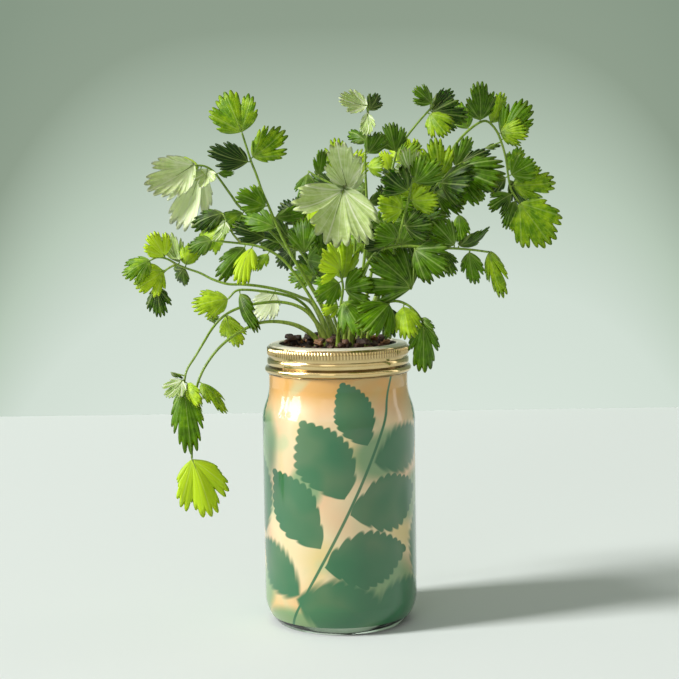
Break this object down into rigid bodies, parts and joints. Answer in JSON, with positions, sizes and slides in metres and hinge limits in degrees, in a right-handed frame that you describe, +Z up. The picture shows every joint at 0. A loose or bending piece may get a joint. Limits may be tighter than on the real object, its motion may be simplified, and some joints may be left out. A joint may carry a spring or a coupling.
{
  "type": "hydroponic jar planter",
  "caption": "Wide-mouth glass jar with a printed film sleeve and a gold screw band that holds a wicking net pot of coir with a leafy herb plant.",
  "frame": {"origin": "centre of the flat ring that the glass jar stands on", "axes": "+Z up along the jar's axis, -Y towards the viewer of the picture, +X to the viewer's right"},
  "size_m": [0.2768, 0.1364, 0.3379],
  "materials": {
    "clear_glass": "clear, glossy",
    "printed_film": "gloss shrink film with a soft green, cream and amber print",
    "gold_lacquered_tinplate": "gold lacquer over bright sheet metal",
    "moulded_pot_plastic": "black moulded plastic",
    "felt": "needled felt",
    "pressed_coir": "damp coir",
    "coir_chip": "rough fibrous chips",
    "herb_stem": "smooth juicy stem",
    "herb_leaf": "soft satin leaf, paler beneath"
  },
  "bodies": {
    "jar": {"glass_jar": "clear_glass", "film_sleeve": "printed_film"},
    "insert": {"net_pot": "moulded_pot_plastic", "wick": "felt", "grow_medium": "pressed_coir", "coir_chips": "coir_chip", "stalk_01": "herb_stem", "leaves_01": "herb_leaf", "stalk_02": "herb_stem", "leaves_02": "herb_leaf", "stalk_03": "herb_stem", "leaves_03": "herb_leaf", "stalk_04": "herb_stem", "leaves_04": "herb_leaf", "stalk_05": "herb_stem", "leaves_05": "herb_leaf", "stalk_06": "herb_stem", "leaves_06": "herb_leaf", "stalk_07": "herb_stem", "leaves_07": "herb_leaf", "stalk_08": "herb_stem", "leaves_08": "herb_leaf", "stalk_09": "herb_stem", "leaves_09": "herb_leaf", "stalk_10": "herb_stem", "leaves_10": "herb_leaf", "stalk_11": "herb_stem", "leaves_11": "herb_leaf", "stalk_12": "herb_stem", "leaves_12": "herb_leaf", "stalk_13": "herb_stem", "leaves_13": "herb_leaf", "stalk_14": "herb_stem", "leaves_14": "herb_leaf", "stalk_15": "herb_stem", "leaves_15": "herb_leaf", "stalk_16": "herb_stem", "leaves_16": "herb_leaf", "stalk_17": "herb_stem", "leaves_17": "herb_leaf", "stalk_18": "herb_stem", "leaves_18": "herb_leaf", "stalk_19": "herb_stem", "leaves_19": "herb_leaf", "stalk_20": "herb_stem", "leaves_20": "herb_leaf", "stalk_21": "herb_stem", "leaves_21": "herb_leaf"},
    "band": {"screw_band": "gold_lacquered_tinplate"}
  },
  "joints": [
    {"name": "insert_lift", "type": "slide", "parent": "jar", "child": "insert", "axis": [0, 0, 1], "range_m": [0, 0.1677]},
    {"name": "band_turn", "type": "hinge", "parent": "insert", "child": "band", "pos_m": [0, 0, 0.167], "axis": [0, 0, 1], "range_deg": [0, 11880]}
  ],
  "couplings": [
    {"joint": "insert_lift", "follows": "band_turn", "m_per_rad": 0.00080851}
  ]
}
